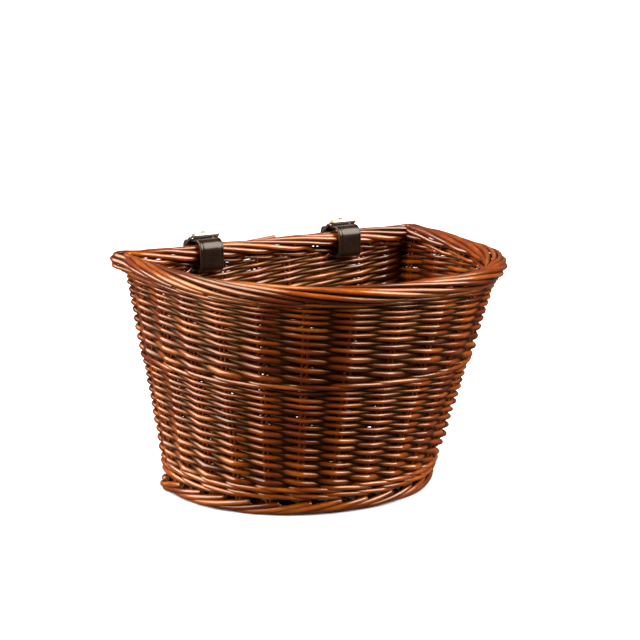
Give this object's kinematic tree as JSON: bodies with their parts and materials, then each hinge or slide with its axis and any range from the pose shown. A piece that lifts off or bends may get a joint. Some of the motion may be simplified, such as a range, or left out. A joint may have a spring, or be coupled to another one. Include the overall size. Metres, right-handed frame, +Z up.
{
  "type": "bicycle handlebar basket",
  "caption": "D-shaped varnished willow basket with rolled rim and foot borders, and two dark leather straps with roller buckles round its flat back rim.",
  "frame": {"origin": "centre of the object's box at the floor it stands on, straps included", "axes": "+Z up, +Y out of the flat back that faces the handlebar, +X along the rim's width, to the right seen from the front"},
  "size_m": [0.3392, 0.2886, 0.2411],
  "materials": {
    "willow": "glossy varnish on stained willow",
    "willow_rods": "glossy varnish on stained willow",
    "leather": "smooth dark brown, semi-gloss",
    "buckle_steel": "nickel plate, polished"
  },
  "bodies": {
    "root": {"foot_border": "willow", "bottom_wale": "willow", "lower_siding": "willow", "middle_wale": "willow", "upper_siding": "willow", "top_wale": "willow", "rim_border": "willow", "base_weave": "willow", "stake_01": "willow_rods", "stake_02": "willow_rods", "stake_03": "willow_rods", "stake_04": "willow_rods", "stake_05": "willow_rods", "stake_06": "willow_rods", "stake_07": "willow_rods", "stake_08": "willow_rods", "stake_09": "willow_rods", "stake_10": "willow_rods", "stake_11": "willow_rods", "stake_12": "willow_rods", "stake_13": "willow_rods", "stake_14": "willow_rods", "stake_15": "willow_rods", "stake_16": "willow_rods", "stake_17": "willow_rods", "stake_18": "willow_rods", "stake_19": "willow_rods", "stake_20": "willow_rods", "stake_21": "willow_rods", "stake_22": "willow_rods", "stake_23": "willow_rods", "stake_24": "willow_rods", "stake_25": "willow_rods", "base_stick_1": "willow_rods", "base_stick_2": "willow_rods", "base_stick_3": "willow_rods", "base_stick_4": "willow_rods", "base_stick_5": "willow_rods", "base_stick_6": "willow_rods", "base_stick_7": "willow_rods", "strap_left": "leather", "strap_keeper_left": "leather", "strap_right": "leather", "strap_keeper_right": "leather"},
    "buckle_left": {"buckle_frame_left": "buckle_steel"},
    "roller_left": {"buckle_roller_left": "buckle_steel"},
    "prong_left": {"buckle_prong_left": "buckle_steel"},
    "buckle_right": {"buckle_frame_right": "buckle_steel"},
    "roller_right": {"buckle_roller_right": "buckle_steel"},
    "prong_right": {"buckle_prong_right": "buckle_steel"}
  },
  "joints": [
    {"name": "left_buckle_swing", "type": "hinge", "parent": "root", "child": "buckle_left", "pos_m": [-0.074, 0.1374, 0.2246], "axis": [1, 0, 0], "range_deg": [-6, 0.5]},
    {"name": "left_roller_spin", "type": "hinge", "parent": "buckle_left", "child": "roller_left", "pos_m": [-0.074, 0.1219, 0.237], "axis": [1, 0, 0], "continuous": true},
    {"name": "left_prong_lift", "type": "hinge", "parent": "buckle_left", "child": "prong_left", "pos_m": [-0.074, 0.1374, 0.2246], "axis": [1, 0, 0], "range_deg": [-8, 0]},
    {"name": "right_buckle_swing", "type": "hinge", "parent": "root", "child": "buckle_right", "pos_m": [0.079, 0.1374, 0.2246], "axis": [1, 0, 0], "range_deg": [-6, 0.5]},
    {"name": "right_roller_spin", "type": "hinge", "parent": "buckle_right", "child": "roller_right", "pos_m": [0.079, 0.1219, 0.237], "axis": [1, 0, 0], "continuous": true},
    {"name": "right_prong_lift", "type": "hinge", "parent": "buckle_right", "child": "prong_right", "pos_m": [0.079, 0.1374, 0.2246], "axis": [1, 0, 0], "range_deg": [-8, 0]}
  ]
}
